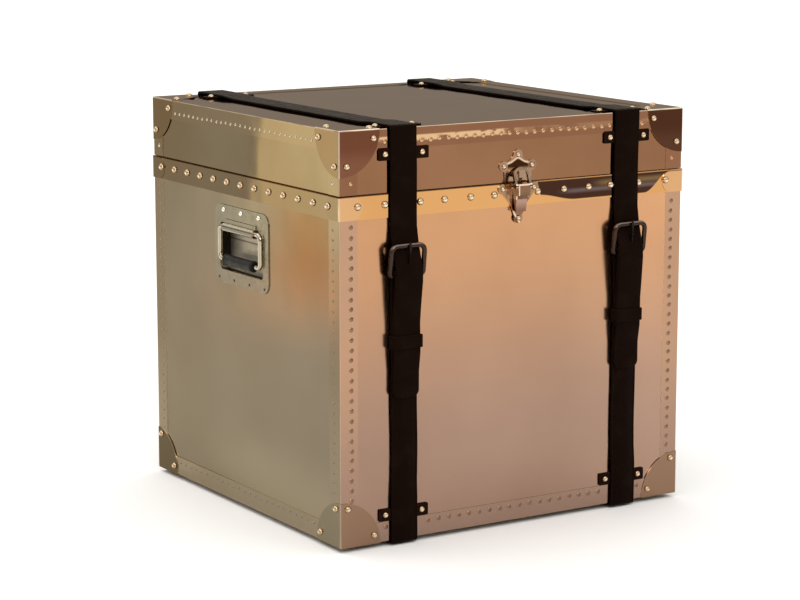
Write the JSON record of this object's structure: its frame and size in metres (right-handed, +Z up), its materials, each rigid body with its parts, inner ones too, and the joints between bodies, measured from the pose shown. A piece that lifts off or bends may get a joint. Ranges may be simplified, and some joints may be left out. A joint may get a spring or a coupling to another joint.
{
  "type": "storage chest",
  "caption": "Cube-shaped metal-clad storage chest with a hinged lid, buckled leather straps, draw latch and recessed side handles.",
  "frame": {"origin": "on the floor under the middle of the box", "axes": "+Z up, -Y out of the front with the latch and buckles, +X to the right seen from the front"},
  "size_m": [0.57, 0.5518, 0.5566],
  "materials": {
    "clad_front": "softly polished copper-toned sheet",
    "clad_side": "softly polished brass-toned sheet",
    "clad_top": "softly polished sheet",
    "edge_metal": "polished angle strip",
    "cap_metal": "polished pressed sheet",
    "band_metal": "polished brass band",
    "plywood": "plain birch plywood",
    "bridle_leather": "waxed black-brown bridle leather",
    "tab_leather": "waxed black-brown leather",
    "buckle_bronze": "dark antique bronze",
    "handle_nickel": "bright nickel plate",
    "grip_rubber": "black moulded rubber",
    "latch_nickel": "aged nickel plate",
    "hinge_steel": "plated steel",
    "foot_rubber": "black rubber"
  },
  "bodies": {
    "base": {"base_front_skin": "clad_front", "base_back_skin": "clad_front", "base_left_skin": "clad_side", "base_right_skin": "clad_side", "base_foot_trims": "edge_metal", "base_corner_trims": "edge_metal", "base_corner_caps": "cap_metal", "base_front_panel": "plywood", "base_back_panel": "plywood", "base_left_panel": "plywood", "base_right_panel": "plywood", "base_floor_panel": "plywood", "base_strap_tabs": "tab_leather", "rim_bands": "band_metal", "rim_corner_wraps": "band_metal", "foot_pads": "foot_rubber", "hinge_base_leaves": "hinge_steel", "hinge_pins": "hinge_steel", "left_handle_pan": "handle_nickel", "right_handle_pan": "handle_nickel", "latch_base_plate": "latch_nickel", "latch_pivot_pin": "latch_nickel", "left_strap_base": "bridle_leather", "right_strap_base": "bridle_leather", "left_strap_keeper": "bridle_leather", "right_strap_keeper": "bridle_leather"},
    "lid": {"lid_front_skin": "clad_front", "lid_back_skin": "clad_front", "lid_left_skin": "clad_side", "lid_right_skin": "clad_side", "lid_top_skin": "clad_top", "lid_edge_trims": "edge_metal", "lid_corner_trims": "edge_metal", "lid_corner_caps": "cap_metal", "lid_top_panel": "plywood", "lid_front_panel": "plywood", "lid_back_panel": "plywood", "lid_left_panel": "plywood", "lid_right_panel": "plywood", "lid_strap_tabs": "tab_leather", "hinge_lid_leaves": "hinge_steel", "latch_lid_plate": "latch_nickel", "left_strap_lid": "bridle_leather", "right_strap_lid": "bridle_leather"},
    "lever": {"latch_lever": "latch_nickel"},
    "link": {"latch_link": "latch_nickel", "latch_link_pin": "latch_nickel"},
    "left_handle": {"left_handle_bail": "handle_nickel", "left_handle_grip": "grip_rubber"},
    "left_buckle": {"left_buckle_frame": "buckle_bronze"},
    "left_prong": {"left_buckle_prong": "buckle_bronze"},
    "left_billet": {"left_strap_billet": "bridle_leather"},
    "right_handle": {"right_handle_bail": "handle_nickel", "right_handle_grip": "grip_rubber"},
    "right_buckle": {"right_buckle_frame": "buckle_bronze"},
    "right_prong": {"right_buckle_prong": "buckle_bronze"},
    "right_billet": {"right_strap_billet": "bridle_leather"}
  },
  "joints": [
    {"name": "lid_hinge", "type": "hinge", "parent": "base", "child": "lid", "pos_m": [0, 0.267, 0.4685], "axis": [-1, 0, 0], "range_deg": [0, 100]},
    {"name": "latch_lever_swing", "type": "hinge", "parent": "base", "child": "lever", "pos_m": [0, -0.2674, 0.465], "axis": [-1, 0, 0], "range_deg": [0, 60]},
    {"name": "latch_link_swing", "type": "hinge", "parent": "lever", "child": "link", "pos_m": [0, -0.2744, 0.465], "axis": [-1, 0, 0], "range_deg": [-95, 0]},
    {"name": "left_handle_swing", "type": "hinge", "parent": "base", "child": "left_handle", "pos_m": [-0.2772, 0, 0.392], "axis": [0, 1, 0], "range_deg": [0, 90]},
    {"name": "left_buckle_tilt", "type": "hinge", "parent": "base", "child": "left_buckle", "pos_m": [-0.179, -0.2692, 0.361], "axis": [1, 0, 0], "range_deg": [0, 40]},
    {"name": "left_prong_swing", "type": "hinge", "parent": "left_buckle", "child": "left_prong", "pos_m": [-0.179, -0.2692, 0.361], "axis": [1, 0, 0], "range_deg": [0, 40]},
    {"name": "left_billet_drape", "type": "hinge", "parent": "lid", "child": "left_billet", "pos_m": [-0.179, -0.2624, 0.466], "axis": [-1, 0, 0], "range_deg": [-100, 0], "deforming": ["left_strap_billet"]},
    {"name": "right_handle_swing", "type": "hinge", "parent": "base", "child": "right_handle", "pos_m": [0.2772, 0, 0.392], "axis": [0, -1, 0], "range_deg": [0, 90]},
    {"name": "right_buckle_tilt", "type": "hinge", "parent": "base", "child": "right_buckle", "pos_m": [0.179, -0.2692, 0.361], "axis": [1, 0, 0], "range_deg": [0, 40]},
    {"name": "right_prong_swing", "type": "hinge", "parent": "right_buckle", "child": "right_prong", "pos_m": [0.179, -0.2692, 0.361], "axis": [1, 0, 0], "range_deg": [0, 40]},
    {"name": "right_billet_drape", "type": "hinge", "parent": "lid", "child": "right_billet", "pos_m": [0.179, -0.2624, 0.466], "axis": [-1, 0, 0], "range_deg": [-100, 0], "deforming": ["right_strap_billet"]}
  ],
  "couplings": [
    {"joint": "latch_link_swing", "follows": "latch_lever_swing", "ratio": -1.5833},
    {"joint": "left_billet_drape", "follows": "lid_hinge", "ratio": -1},
    {"joint": "right_billet_drape", "follows": "lid_hinge", "ratio": -1}
  ]
}
